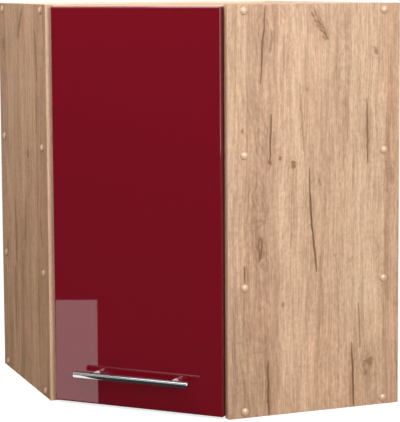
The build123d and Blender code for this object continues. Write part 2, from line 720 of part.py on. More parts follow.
with BuildPart() as bracket:
    with BuildSketch(PLAN.offset(bracket_low)) as housing:
        with Locations((back_face, side_face - BRACKET_WIDTH)):
            Rectangle(BRACKET_DEPTH, BRACKET_WIDTH, align=(Align.MIN, Align.MIN))
        fillet(housing.vertices().sort_by(Axis.X)[-2:], radius=BRACKET_CORNER)
    extrude(amount=BRACKET_HEIGHT)
    # channel for the hook, open towards the wall
    with BuildSketch(PLAN.offset(bracket_middle - channel_height / 2)):
        with Locations((back_face, hook_from_left)):
            Rectangle(
                channel_end - back_face,
                HOOK_SHEET + 2 * HOOK_SLACK,
                align=(Align.MIN, Align.CENTER),
            )
    extrude(amount=channel_height, mode=Mode.SUBTRACT)
    with Locations(*bracket_screw_frames):
        CounterSinkHole(
            radius=WOOD_SCREW / 2 + PILOT_CLEARANCE,
            counter_sink_radius=WOOD_SCREW_HEAD / 2 + PILOT_CLEARANCE,
            depth=BRACKET_WIDTH,
            counter_sink_angle=90,
        )
    with Locations(*bracket_adjuster_frames):
        Hole(radius=BRACKET_ADJUSTER / 2 + PILOT_CLEARANCE, depth=BRACKET_ADJUSTER_LENGTH)
save_both(bracket, "hanging_bracket")

# the hook lies in an upright plane across the wall: x away from the wall, y up
hook_plane = Plane(
    origin=plan_point(0, hook_from_left + HOOK_SHEET / 2, bracket_middle),
    x_dir=TO_LEFT,
    z_dir=-TO_RIGHT,
)
tail_high = HOOK_TAIL_HEIGHT / 2
nose_low = tail_high - HOOK_NOSE_HEIGHT
with BuildPart() as hook:
    with BuildSketch(hook_plane):
        with BuildLine():
            Polyline(
                (HOOK_WALL_GAP, nose_low - HOOK_LIP_DROP),
                (HOOK_WALL_GAP, tail_high),
                (channel_end - HOOK_END_CLEARANCE, tail_high),
                (channel_end - HOOK_END_CLEARANCE, -tail_high),
                (back_face + HOOK_ROOT, -tail_high),
                (back_face + HOOK_ROOT, nose_low),
                (HOOK_WALL_GAP + HOOK_LIP, nose_low),
                (HOOK_WALL_GAP + HOOK_LIP, nose_low - HOOK_LIP_DROP),
                close=True,
            )
        make_face()
    extrude(amount=HOOK_SHEET)
save_both(hook, "hook")

with BuildPart() as bracket_adjuster:
    with BuildSketch():
        Circle(BRACKET_ADJUSTER / 2)
    extrude(amount=-BRACKET_ADJUSTER_LENGTH)
    # cross slot
    with BuildSketch():
        Rectangle(BRACKET_ADJUSTER * 0.7, CROSS_SLOT)
        Rectangle(CROSS_SLOT, BRACKET_ADJUSTER * 0.7)
    extrude(amount=-BRACKET_ADJUSTER_LENGTH / 3, mode=Mode.SUBTRACT)
with BuildPart() as adjusters:
    with Locations(*bracket_adjuster_frames):
        add(bracket_adjuster.part)
save_both(adjusters, "bracket_adjusters")

bracket_screw = countersunk_screw(WOOD_SCREW_HEAD, WOOD_SCREW, BRACKET_SCREW_LENGTH)
with BuildPart() as bracket_screws:
    with Locations(*bracket_screw_frames):
        add(bracket_screw)
save_both(bracket_screws, "bracket_screws")
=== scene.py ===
"""Looks of the corner wall cabinet: oak decor carcase, high-gloss red door, chrome bar handle."""
import math

import bmesh
import bpy
from mathutils import Matrix, Vector


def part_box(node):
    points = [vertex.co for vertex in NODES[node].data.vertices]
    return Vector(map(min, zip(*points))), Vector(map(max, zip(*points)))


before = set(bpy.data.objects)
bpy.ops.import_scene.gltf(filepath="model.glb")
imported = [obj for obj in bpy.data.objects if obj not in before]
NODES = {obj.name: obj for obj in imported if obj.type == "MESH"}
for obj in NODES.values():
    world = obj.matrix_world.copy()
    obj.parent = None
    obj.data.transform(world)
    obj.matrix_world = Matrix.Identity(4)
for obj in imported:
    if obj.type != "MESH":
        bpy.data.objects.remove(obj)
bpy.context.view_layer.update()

# Places on the cabinet, in metres, read from the frame.
DOOR_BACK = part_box("door")[1].y
FRONT_CORNER_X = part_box("right_side_edging")[1].x
FRONT_CORNER_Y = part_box("right_side_edging")[0].y

# Colours, linear. A tint multiplies the colour under it.
OAK_LIGHT = (0.66, 0.435, 0.29, 1)
OAK_MIDDLE = (0.575, 0.365, 0.235, 1)
OAK_DARK = (0.42, 0.25, 0.15, 1)
OAK_CRACK = (0.135, 0.052, 0.012, 1)
OAK_KNOT = (0.235, 0.115, 0.050, 1)
GLOSS_RED = (0.161, 0.0026, 0.0100, 1)
GLOSS_RED_DEEPER = (0.147, 0.0023, 0.0088, 1)
MELAMINE_WHITE = (0.78, 0.77, 0.74, 1)
MELAMINE_GREY = (0.62, 0.61, 0.58, 1)
EDGE_BAND_OAK = (0.70, 0.455, 0.305, 1)
CAP_OAK = (0.72, 0.47, 0.31, 1)
CAP_OAK_WORN = (0.62, 0.40, 0.26, 1)
# Painted shade at the foot of each cover cap, where it meets the board.
CAP_FOOT_PAINTED_SHADE = (0.30, 0.155, 0.085, 1)
FIBRE_DARK = (0.30, 0.17, 0.085, 1)
FIBRE_LIGHT = (0.43, 0.27, 0.15, 1)
FIBRE_STAIN = (0.25, 0.14, 0.07, 1)
PAPER_LIGHT = (0.80, 0.68, 0.53, 1)
PAPER_DARK = (0.72, 0.60, 0.46, 1)
WHITE = (1, 1, 1, 1)
DARKER = (0.80, 0.775, 0.75, 1)
DARK = (0.72, 0.665, 0.61, 1)
LIGHTER = (1.07, 1.08, 1.09, 1)
PALER = (1.05, 1.11, 1.13, 1)
WARMER = (0.88, 0.80, 0.74, 1)
# Painted shade: a tint that makes the whole left panel darker and warmer, as that side faces away from the
# key light.
PAINTED_SHADE_LEFT_PANEL = (0.93, 0.865, 0.81, 1)
FIGURE_COOL = (0.985, 1.0, 0.97, 1)
FIGURE_WARM = (1.02, 0.955, 0.93, 1)
FINE_LINE_DARK = (0.82, 0.795, 0.77, 1)
FINE_LINE_LIGHT = (1.08, 1.09, 1.10, 1)
SPECKLE_DARK = (0.89, 0.875, 0.86, 1)
SPECKLE_LIGHT = (1.09, 1.10, 1.11, 1)
RAY_TINT = (0.82, 0.79, 0.76, 1)

# Thin layers that a material finds by its coordinates, in metres.
DOOR_BACK_LAYER = 0.00015
PAPER_LAYER = 0.0004
# Where the painted shade round a cap's foot starts and ends, out from the board's face.
CAP_PAINTED_SHADE_START = 0.0004
CAP_PAINTED_SHADE_END = 0.0022


# ---------------------------------------------------------------- node helpers

def new_material(name):
    """A new material, its emptied tree and its output node."""
    material = bpy.data.materials.new(name)
    material.use_nodes = True
    tree = material.node_tree
    tree.nodes.clear()
    return material, tree, tree.nodes.new("ShaderNodeOutputMaterial")


def fill(tree, socket, value):
    """Links a socket to another node's socket, or gives it a plain value."""
    if isinstance(value, bpy.types.NodeSocket):
        tree.links.new(value, socket)
    else:
        socket.default_value = value


def add(tree, kind, inputs=None, **settings):
    """Adds a node, with its settings, and fills or links its inputs."""
    made = tree.nodes.new(kind)
    for name, value in settings.items():
        setattr(made, name, value)
    for name, value in (inputs or {}).items():
        fill(tree, made.inputs[name], value)
    return made


def sum_of(tree, operation, a, b=0.0, c=0.0, clamp=False):
    """A Math node's value."""
    return add(tree, "ShaderNodeMath", {0: a, 1: b, 2: c}, operation=operation, use_clamp=clamp).outputs[0]


def swing(tree, noise, reach):
    """A noise's value swung to both sides of zero, half the reach each way."""
    return sum_of(tree, "MULTIPLY", sum_of(tree, "SUBTRACT", noise.outputs["Fac"], 0.5), reach)


def vector_sum(tree, operation, a, b):
    """A Vector Math node's vector."""
    return add(tree, "ShaderNodeVectorMath", {0: a, 1: b}, operation=operation).outputs[0]


def vector_value(tree, operation, a, b):
    """A Vector Math node's number."""
    return add(tree, "ShaderNodeVectorMath", {0: a, 1: b}, operation=operation).outputs["Value"]


def blend_colour(tree, factor, a, b, how="MIX"):
    """Colour a turned into b by the factor."""
    mix = add(tree, "ShaderNodeMix", {"Factor": factor}, data_type="RGBA", blend_type=how)
    sockets = [s for s in mix.inputs if s.type == "RGBA"]
    for socket, value in zip(sockets, (a, b)):
        fill(tree, socket, value)
    return [s for s in mix.outputs if s.type == "RGBA"][0]


def between(tree, value, low, high, to_low=0.0, to_high=1.0):
    """A smooth step of the value from low to high."""
    return add(tree, "ShaderNodeMapRange",
               {"Value": value, "From Min": low, "From Max": high, "To Min": to_low, "To Max": to_high},
               interpolation_type="SMOOTHSTEP").outputs["Result"]


def new_group(name, inputs, outputs):
    """A shader node group with named sockets: its tree, its inputs and its output node."""
    group = bpy.data.node_groups.new(name, "ShaderNodeTree")
    kinds = {"value": "NodeSocketFloat", "vector": "NodeSocketVector"}
    for socket, kind, default in inputs:
        made = group.interface.new_socket(socket, in_out="INPUT", socket_type=kinds[kind])
        if default is not None:
            made.default_value = default
    for socket, kind in outputs:
        group.interface.new_socket(socket, in_out="OUTPUT", socket_type=kinds[kind])
    return group, group.nodes.new("NodeGroupInput").outputs, group.nodes.new("NodeGroupOutput")


def place_group(tree, group, inputs):
    """A group placed in a tree, with its inputs filled or linked."""
    made = tree.nodes.new("ShaderNodeGroup")
    made.node_tree = group
    for name, value in inputs.items():
        fill(tree, made.inputs[name], value)
    return made.outputs


def give_surface(tree, out, inputs, height, strength, distance):
    """A Principled surface with a slight relief, linked to the material's output."""
    bump = add(tree, "ShaderNodeBump", {"Height": height, "Strength": strength, "Distance": distance})
    shader = add(tree, "ShaderNodeBsdfPrincipled", {**inputs, "Normal": bump.outputs[0]})
    tree.links.new(shader.outputs[0], out.inputs["Surface"])


def object_place(tree, turn=(0, 0, 0), shift=(0, 0, 0), scale=(1, 1, 1)):
    """Object coordinates, turned, moved and scaled."""
    place = add(tree, "ShaderNodeTexCoord").outputs["Object"]
    return add(tree, "ShaderNodeMapping",
               {"Vector": place, "Location": shift, "Rotation": turn, "Scale": scale}).outputs[0]


# ------------------------------------------------------------- shared effects

def make_grain_lines():
    """Wood grain that runs along Z: fibres, streaks, figure, rings, pores, speckle and cross rays."""
    group, given, out = new_group(
        "grain_lines",
        [("Vector", "vector", None), ("Shift", "value", 0.0)],
        [(mark, "value") for mark in ("Fibres", "Streaks", "Pores", "Figure", "Rings", "Fine Lines",
                                      "Speckle", "Rays")])
    shift = add(group, "ShaderNodeCombineXYZ", {axis: given["Shift"] for axis in "XYZ"})
    moved = vector_sum(group, "ADD", given["Vector"], shift.outputs[0])

    def grain_noise(across, along, **settings):
        """Noise with so many waves to a metre across the grain, and so many along it."""
        stretched = add(group, "ShaderNodeMapping", {"Vector": moved, "Scale": (across, across, along)})
        sockets = {"Vector": stretched.outputs[0], "Scale": 1.0}
        sockets.update({name.capitalize(): value for name, value in settings.items()})
        return add(group, "ShaderNodeTexNoise", sockets)

    sway_x = swing(group, grain_noise(9, 2.2, detail=2.0), 0.035)
    ripple_x = swing(group, grain_noise(38, 13, detail=2.0), 0.006)
    sway_vector = add(group, "ShaderNodeCombineXYZ", {"X": sum_of(group, "ADD", sway_x, ripple_x)})
    moved = vector_sum(group, "ADD", moved, sway_vector.outputs[0])
    fibres = grain_noise(330, 11, detail=3.0, roughness=0.6).outputs["Fac"]
    streaks = grain_noise(75, 3.4, detail=3.0, roughness=0.5).outputs["Fac"]
    fine = grain_noise(300, 11, detail=3.0, roughness=0.75).outputs["Fac"]
    speckle = grain_noise(210, 100, detail=4.0, roughness=0.75).outputs["Fac"]
    rays = grain_noise(26, 210, detail=2.0, roughness=0.6, distortion=0.4).outputs["Fac"]
    rays_zone = grain_noise(11, 9, detail=1.0).outputs["Fac"]
    pores = grain_noise(560, 70, detail=1.0).outputs["Fac"]
    figure = grain_noise(16, 3, detail=4.0, roughness=0.5, distortion=0.6).outputs["Fac"]
    rays = sum_of(group, "MULTIPLY", between(group, rays, 0.50, 0.64), between(group, rays_zone, 0.46, 0.62))
    for mark, value in {
            "Fibres": fibres,
            "Streaks": streaks,
            "Pores": between(group, pores, 0.60, 0.72),
            "Figure": figure,
            "Rings": sum_of(group, "SINE", sum_of(group, "MULTIPLY", figure, 95.0)),
            "Fine Lines": between(group, fine, 0.38, 0.60),
            "Speckle": between(group, speckle, 0.32, 0.68),
            "Rays": rays}.items():
        group.links.new(value, out.inputs[mark])
    return group


def make_crack():
    """A dark crack in the decor, from a start to an end, a little wavy and thin at both ends."""
    group, given, out = new_group(
        "decor_crack",
        [("Vector", "vector", None), ("Start", "vector", (0, 0, 0)), ("End", "vector", (0, 0, 0.1)),
         ("Width", "value", 0.002), ("Wander", "value", 0.004)],
        [("Mask", "value"), ("Stain", "value")])
    bend = add(group, "ShaderNodeTexNoise", {"Vector": given["Vector"], "Scale": 34.0, "Detail": 3.0})
    bend_vector = add(group, "ShaderNodeCombineXYZ", {"X": swing(group, bend, given["Wander"])})
    moved = vector_sum(group, "ADD", given["Vector"], bend_vector.outputs[0])
    flat = vector_sum(group, "MULTIPLY", moved, (1, 0, 1))
    run = vector_sum(group, "SUBTRACT", given["End"], given["Start"])
    here = vector_sum(group, "SUBTRACT", flat, given["Start"])
    square = vector_value(group, "DOT_PRODUCT", run, run)
    along = vector_value(group, "DOT_PRODUCT", here, run)
    share = sum_of(group, "DIVIDE", along, square, clamp=True)
    nearest = add(group, "ShaderNodeVectorMath", {0: run, "Scale": share}, operation="SCALE").outputs[0]
    away = vector_value(group, "DISTANCE", here, nearest)
    taper = sum_of(group, "MULTIPLY", share, sum_of(group, "SUBTRACT", 1.0, share))
    taper = sum_of(group, "MULTIPLY", taper, 4.0)
    part_wide = sum_of(group, "ADD", sum_of(group, "POWER", taper, 0.5), 0.1)
    ratio = sum_of(group, "DIVIDE", away, sum_of(group, "MULTIPLY", given["Width"], part_wide))
    mask = between(group, ratio, 0.30, 1.0, 1.0, 0.0)
    stain = between(group, ratio, 0.5, 6.5, 1.0, 0.0)
    group.links.new(mask, out.inputs["Mask"])
    group.links.new(sum_of(group, "MULTIPLY", stain, bend.outputs["Fac"]), out.inputs["Stain"])
    return group


def make_knot():
    """A knot in the decor: a dark heart, and grain rings round it that fade outwards."""
    group, given, out = new_group(
        "decor_knot",
        [("Vector", "vector", None), ("Place", "vector", (0, 0, 0)), ("Lean", "value", 0.0),
         ("Wide", "value", 0.03), ("Tall", "value", 0.06)],
        [("Heart", "value"), ("Rings", "value")])
    here = vector_sum(group, "SUBTRACT", given["Vector"], given["Place"])
    turned = add(group, "ShaderNodeVectorRotate", {"Vector": here, "Angle": given["Lean"]},
                 rotation_type="Y_AXIS")
    rough = add(group, "ShaderNodeTexNoise",
                {"Vector": given["Vector"], "Scale": 150.0, "Detail": 4.0, "Roughness": 0.65})
    sway = add(group, "ShaderNodeTexNoise", {"Vector": given["Vector"], "Scale": 22.0, "Detail": 2.0})
    parts = add(group, "ShaderNodeSeparateXYZ", {"Vector": turned.outputs[0]}).outputs
    squares = []
    for axis, half in (("X", "Wide"), ("Z", "Tall")):
        share = sum_of(group, "DIVIDE", sum_of(group, "ABSOLUTE", parts[axis]), given[half])
        squares.append(sum_of(group, "POWER", share, 2.0))
    reach = sum_of(group, "SQRT", sum_of(group, "ADD", *squares))
    torn = sum_of(group, "ADD", reach, swing(group, rough, 0.75))
    flowing = sum_of(group, "ADD", reach, swing(group, sway, 0.9))
    heart = between(group, torn, 0.15, 0.29, 1.0, 0.0)
    circles = sum_of(group, "COSINE", sum_of(group, "MULTIPLY", flowing, 26.0))
    circles = sum_of(group, "MULTIPLY_ADD", circles, 0.5, 0.5)
    fade = between(group, flowing, 0.30, 1.0, 1.0, 0.0)
    group.links.new(heart, out.inputs["Heart"])
    group.links.new(sum_of(group, "MULTIPLY", fade, circles), out.inputs["Rings"])
    return group


def make_soft_patch():
    """A soft-edged oblong of the decor, for a stave that is darker or lighter than its neighbours; it also
    lays painted shade over a whole panel.
    """
    group, given, out = new_group(
        "stave_and_painted_shade_patch",
        [("Vector", "vector", None), ("Middle", "vector", (0, 0, 0)), ("Half Wide", "value", 0.03),
         ("Half Tall", "value", 0.2), ("Edge", "value", 0.0015)],
        [("Mask", "value")])
    sway = add(group, "ShaderNodeTexNoise", {"Vector": given["Vector"], "Scale": 3.2, "Detail": 2.0})
    here = vector_sum(group, "SUBTRACT", given["Vector"], given["Middle"])
    parts = add(group, "ShaderNodeSeparateXYZ", {"Vector": here}).outputs
    across = sum_of(group, "ADD", parts["X"], swing(group, sway, 0.012))
    side = sum_of(group, "SUBTRACT", sum_of(group, "ABSOLUTE", across), given["Half Wide"])
    ends = sum_of(group, "SUBTRACT", sum_of(group, "ABSOLUTE", parts["Z"]), given["Half Tall"])
    out_of = sum_of(group, "MAXIMUM", side, ends)
    mask = between(group, sum_of(group, "DIVIDE", out_of, given["Edge"]), -1.0, 1.0, 1.0, 0.0)
    group.links.new(mask, out.inputs["Mask"])
    return group


def make_fine_marks():
    """Small unevenness of a moulded, plated or coated surface, and soft broad variation."""
    group, given, out = new_group(
        "fine_marks",
        [("Vector", "vector", None), ("Size", "value", 0.002), ("Stretch", "vector", (1, 1, 1))],
        [("Fine", "value"), ("Broad", "value"), ("Scratches", "value")])
    place = vector_sum(group, "MULTIPLY", given["Vector"], given["Stretch"])
    fine_scale = sum_of(group, "DIVIDE", 1.0, given["Size"])
    fine = add(group, "ShaderNodeTexNoise", {"Vector": place, "Scale": fine_scale, "Detail": 3.0})
    broad = add(group, "ShaderNodeTexNoise",
                {"Vector": place, "Scale": sum_of(group, "MULTIPLY", fine_scale, 0.05), "Detail": 3.0})
    lines = add(group, "ShaderNodeMapping",
                {"Vector": place, "Rotation": (0.3, 0.2, 0.5), "Scale": (1, 0.04, 0.3)})
    scratches = add(group, "ShaderNodeTexNoise",
                    {"Vector": lines.outputs[0], "Scale": fine_scale, "Detail": 2.0})
    group.links.new(fine.outputs["Fac"], out.inputs["Fine"])
    group.links.new(broad.outputs["Fac"], out.inputs["Broad"])
    group.links.new(between(group, scratches.outputs["Fac"], 0.62, 0.70), out.inputs["Scratches"])
    return group


GRAIN_LINES = make_grain_lines()
CRACK = make_crack()
KNOT = make_knot()
STAVE_AND_PAINTED_SHADE_PATCH = make_soft_patch()
FINE_MARKS = make_fine_marks()


# ------------------------------------------------------------------ materials

# What each part of the grain adds to the decor's tone, and what comes off the sum.
FIGURE_SHARE = 0.25
STREAK_SHARE = 0.58
FIBRE_SHARE = 0.48
RING_SHARE = 0.030
TONE_OFFSET = 0.18
# The tones of the dark, the middle and the light oak colour.
DARK_TONE = 0.30
MIDDLE_TONE = 0.47
LIGHT_TONE = 0.66
# How strongly each effect changes the colour.
FIGURE_TINT_STRENGTH = 0.6
FINE_LINE_STRENGTH = 0.7
RAY_STRENGTH = 0.30
PORE_STRENGTH = 0.30
CRACK_STAIN_STRENGTH = 0.8
KNOT_RING_STRENGTH = 0.6
# How strongly the painted shade darkens the foot of a cover cap.
CAP_PAINTED_SHADE_STRENGTH = 0.55


def oak_colour(tree, place, shift):
    """The decor's colour, grain height and tone: X of the place runs across the grain, Z along it."""
    grain = place_group(tree, GRAIN_LINES, {"Vector": place, "Shift": shift})
    tone = sum_of(tree, "MULTIPLY", grain["Streaks"], STREAK_SHARE)
    tone = sum_of(tree, "MULTIPLY_ADD", grain["Figure"], FIGURE_SHARE, tone)
    tone = sum_of(tree, "MULTIPLY_ADD", grain["Fibres"], FIBRE_SHARE, tone)
    tone = sum_of(tree, "MULTIPLY_ADD", grain["Rings"], RING_SHARE, tone)
    ramp = add(tree, "ShaderNodeValToRGB", {"Fac": sum_of(tree, "SUBTRACT", tone, TONE_OFFSET)})
    dark_end, light_end = ramp.color_ramp.elements
    dark_end.position, dark_end.color = DARK_TONE, OAK_DARK
    light_end.position, light_end.color = LIGHT_TONE, OAK_LIGHT
    ramp.color_ramp.elements.new(MIDDLE_TONE).color = OAK_MIDDLE
    warmth = between(tree, grain["Figure"], 0.40, 0.62)
    figure = blend_colour(tree, warmth, FIGURE_COOL, FIGURE_WARM)
    colour = blend_colour(tree, FIGURE_TINT_STRENGTH, ramp.outputs["Color"], figure, "MULTIPLY")
    fine = blend_colour(tree, grain["Fine Lines"], FINE_LINE_DARK, FINE_LINE_LIGHT)
    colour = blend_colour(tree, FINE_LINE_STRENGTH, colour, fine, "MULTIPLY")
    speckle = blend_colour(tree, grain["Speckle"], SPECKLE_DARK, SPECKLE_LIGHT)
    colour = blend_colour(tree, 1.0, colour, speckle, "MULTIPLY")
    rays = sum_of(tree, "MULTIPLY", grain["Rays"], RAY_STRENGTH)
    colour = blend_colour(tree, rays, colour, RAY_TINT, "MULTIPLY")
    colour = blend_colour(tree, sum_of(tree, "MULTIPLY", grain["Pores"], PORE_STRENGTH), colour, OAK_KNOT)
    height = sum_of(tree, "SUBTRACT", grain["Fibres"], sum_of(tree, "MULTIPLY", grain["Pores"], 0.6))
    return colour, height, tone


def board_surface(tree, out, colour, height, roughness):
    """The decor board's satin paper face."""
    give_surface(tree, out, {"Base Color": colour, "Roughness": roughness, "IOR": 1.45,
                             "Specular IOR Level": 0.35}, height, 0.12, 0.0004)


def oak_board(name, place_of, shift, patches=(), cracks=(), knots=()):
    """An oak decor material. place_of is the turn, move and scale that lay its grain on the board."""
    material, tree, out = new_material(name)
    turn, move, scale = place_of
    place = object_place(tree, turn, move, scale)
    colour, height, tone = oak_colour(tree, place, shift)
    for middle, wide, tall, edge, tint, strength in patches:
        mask = place_group(tree, STAVE_AND_PAINTED_SHADE_PATCH, {"Vector": place, "Middle": middle, "Half Wide": wide,
                                               "Half Tall": tall, "Edge": edge})["Mask"]
        colour = blend_colour(tree, sum_of(tree, "MULTIPLY", mask, strength), colour, tint, "MULTIPLY")
    for start, end, width, wander, depth in cracks:
        crack = place_group(tree, CRACK, {"Vector": place, "Start": start, "End": end, "Width": width,
                                          "Wander": wander})
        stain = sum_of(tree, "MULTIPLY", crack["Stain"], depth * CRACK_STAIN_STRENGTH)
        colour = blend_colour(tree, stain, colour, DARK, "MULTIPLY")
        colour = blend_colour(tree, sum_of(tree, "MULTIPLY", crack["Mask"], depth), colour, OAK_CRACK)
    for centre, lean, wide, tall, depth, flow in knots:
        knot = place_group(tree, KNOT, {"Vector": place, "Place": centre, "Lean": lean, "Wide": wide,
                                        "Tall": tall})
        rings = sum_of(tree, "MULTIPLY", knot["Rings"], flow * KNOT_RING_STRENGTH)
        colour = blend_colour(tree, rings, colour, DARK, "MULTIPLY")
        colour = blend_colour(tree, sum_of(tree, "MULTIPLY", knot["Heart"], depth), colour, OAK_KNOT)
    roughness = sum_of(tree, "MULTIPLY_ADD", tone, -0.10, 0.60)
    board_surface(tree, out, colour, height, roughness)
    return material


# The side panels' coordinates: X is the depth behind the front corner, Z the height.
PANEL_SHIFT = -(FRONT_CORNER_X + FRONT_CORNER_Y) / math.sqrt(2)
PANEL_FACE = (FRONT_CORNER_Y - FRONT_CORNER_X) / math.sqrt(2)
RIGHT_PANEL = ((0, 0, -math.pi / 4), (PANEL_SHIFT, 0, 0), (1, 1, 1))
LEFT_PANEL = ((0, 0, -math.pi / 4), (PANEL_SHIFT, 0, 0), (-1, 1, 1))
LYING_BOARD = ((0, math.pi / 2, 0), (0, 0, 0), (1, 1, 1))

# Each patch: middle, half width, half height, softness of its edge, tint and strength.
RIGHT_PATCHES = [
    ((0.066, 0, 0.372), 0.031, 0.400, 0.0012, DARKER, 0.42),
    ((0.062, 0, 0.200), 0.034, 0.230, 0.0600, DARKER, 0.35),
    ((0.016, 0, 0.080), 0.020, 0.165, 0.0200, DARKER, 0.75),
    ((0.016, 0, 0.430), 0.020, 0.200, 0.0300, LIGHTER, 0.80),
    ((0.125, 0, 0.372), 0.027, 0.400, 0.0016, PALER, 0.70),
    ((0.200, 0, 0.360), 0.043, 0.220, 0.0300, DARKER, 0.18),
    ((0.334, 0, 0.372), 0.024, 0.400, 0.0014, WARMER, 0.55),
    ((0.276, 0, 0.480), 0.034, 0.300, 0.0060, PALER, 0.70),
    ((0.200, 0, 0.230), 0.043, 0.260, 0.0060, LIGHTER, 0.60),
    ((0.276, 0, 0.250), 0.034, 0.120, 0.0200, LIGHTER, 0.60),
    ((0.276, 0, 0.040), 0.034, 0.075, 0.0200, DARKER, 0.30),
]
# Each crack: start, end, width, wander and darkness.
RIGHT_CRACKS = [
    ((0.0725, 0, 0.744), (0.0630, 0, 0.604), 0.0026, 0.007, 0.80),
    ((0.0850, 0, 0.700), (0.0820, 0, 0.660), 0.0030, 0.008, 0.40),
    ((0.1620, 0, 0.732), (0.1680, 0, 0.721), 0.0028, 0.006, 0.60),
    ((0.1680, 0, 0.735), (0.1760, 0, 0.719), 0.0024, 0.006, 0.50),
    ((0.1660, 0, 0.718), (0.1780, 0, 0.711), 0.0024, 0.006, 0.50),
    ((0.1740, 0, 0.719), (0.1820, 0, 0.706), 0.0026, 0.006, 0.55),
    ((0.1720, 0, 0.708), (0.1860, 0, 0.701), 0.0022, 0.006, 0.45),
    ((0.1820, 0, 0.711), (0.1920, 0, 0.695), 0.0024, 0.006, 0.50),
    ((0.1800, 0, 0.699), (0.1940, 0, 0.691), 0.0026, 0.006, 0.55),
    ((0.1880, 0, 0.695), (0.1970, 0, 0.681), 0.0030, 0.006, 0.65),
    ((0.1850, 0, 0.688), (0.1940, 0, 0.680), 0.0022, 0.006, 0.50),
    ((0.0840, 0, 0.550), (0.0808, 0, 0.461), 0.0026, 0.005, 0.80),
    ((0.1400, 0, 0.607), (0.1480, 0, 0.480), 0.0018, 0.007, 0.50),
    ((0.1590, 0, 0.451), (0.1608, 0, 0.385), 0.0018, 0.003, 0.80),
    ((0.1602, 0, 0.405), (0.1640, 0, 0.335), 0.0030, 0.003, 0.92),
    ((0.1630, 0, 0.350), (0.1745, 0, 0.258), 0.0030, 0.004, 0.88),
    ((0.0575, 0, 0.304), (0.0595, 0, 0.326), 0.0016, 0.002, 0.70),
    ((0.0590, 0, 0.322), (0.0660, 0, 0.328), 0.0014, 0.002, 0.65),
    ((0.0665, 0, 0.326), (0.0625, 0, 0.288), 0.0020, 0.003, 0.85),
    ((0.0612, 0, 0.308), (0.0605, 0, 0.283), 0.0020, 0.002, 0.80),
    ((0.2740, 0, 0.572), (0.2770, 0, 0.452), 0.0027, 0.005, 0.75),
    ((0.2450, 0, 0.122), (0.2500, 0, -0.002), 0.0030, 0.005, 0.85),
    ((0.0765, 0, 0.103), (0.0780, 0, -0.002), 0.0030, 0.006, 0.85),
    ((0.2590, 0, 0.196), (0.2630, 0, 0.110), 0.0022, 0.005, 0.55),
    ((0.0310, 0, 0.278), (0.0320, 0, 0.248), 0.0024, 0.002, 0.70),
    ((0.1100, 0, 0.700), (0.1080, 0, 0.620), 0.0016, 0.006, 0.35),
    ((0.3050, 0, 0.740), (0.3080, 0, 0.600), 0.0016, 0.006, 0.35),
    ((0.2120, 0, 0.330), (0.2180, 0, 0.180), 0.0016, 0.010, 0.35),
    ((0.1250, 0, 0.240), (0.1290, 0, 0.070), 0.0014, 0.008, 0.30),
]
# Each knot: place, lean, reach of its rings across and along, darkness of its heart, strength of its rings.
RIGHT_KNOTS = [
    ((0.179, 0, 0.712), 0.55, 0.034, 0.100, 0.30, 0.55),
    ((0.293, 0, 0.658), 0.30, 0.018, 0.026, 0.70, 0.70),
    ((0.127, 0, 0.457), 0.00, 0.018, 0.030, 0.90, 0.55),
    ((0.082, 0, 0.461), 0.50, 0.015, 0.022, 0.90, 0.55),
    ((0.063, 0, 0.303), 0.10, 0.036, 0.110, 0.40, 1.00),
    ((0.282, 0, 0.084), 0.30, 0.030, 0.050, 0.75, 0.50),
    ((0.271, 0, 0.080), 0.00, 0.020, 0.030, 0.60, 0.40),
    ((0.273, 0, 0.064), 0.20, 0.018, 0.030, 0.60, 0.30),
    ((0.102, 0, 0.470), 0.00, 0.012, 0.018, 0.80, 0.40),
    ((0.028, 0, 0.521), 0.00, 0.012, 0.024, 0.75, 0.40),
    ((0.179, 0, 0.424), 0.30, 0.014, 0.026, 0.60, 0.60),
    ((0.154, 0, 0.593), 0.00, 0.012, 0.018, 0.45, 0.50),
    ((0.325, 0, 0.430), 0.10, 0.028, 0.080, 0.40, 0.60),
    ((0.107, 0, 0.203), 0.00, 0.012, 0.022, 0.60, 0.40),
    ((0.060, 0, 0.170), 0.00, 0.040, 0.130, 0.00, 0.70),
    ((0.066, 0, 0.500), 0.20, 0.036, 0.110, 0.00, 0.90),
    ((0.058, 0, 0.400), 0.10, 0.034, 0.090, 0.00, 0.90),
    ((0.070, 0, 0.690), -0.10, 0.034, 0.100, 0.00, 0.60),
    ((0.205, 0, 0.120), 0.00, 0.040, 0.200, 0.00, 0.40),
    ((0.215, 0, 0.520), 0.00, 0.036, 0.180, 0.00, 0.30),
]
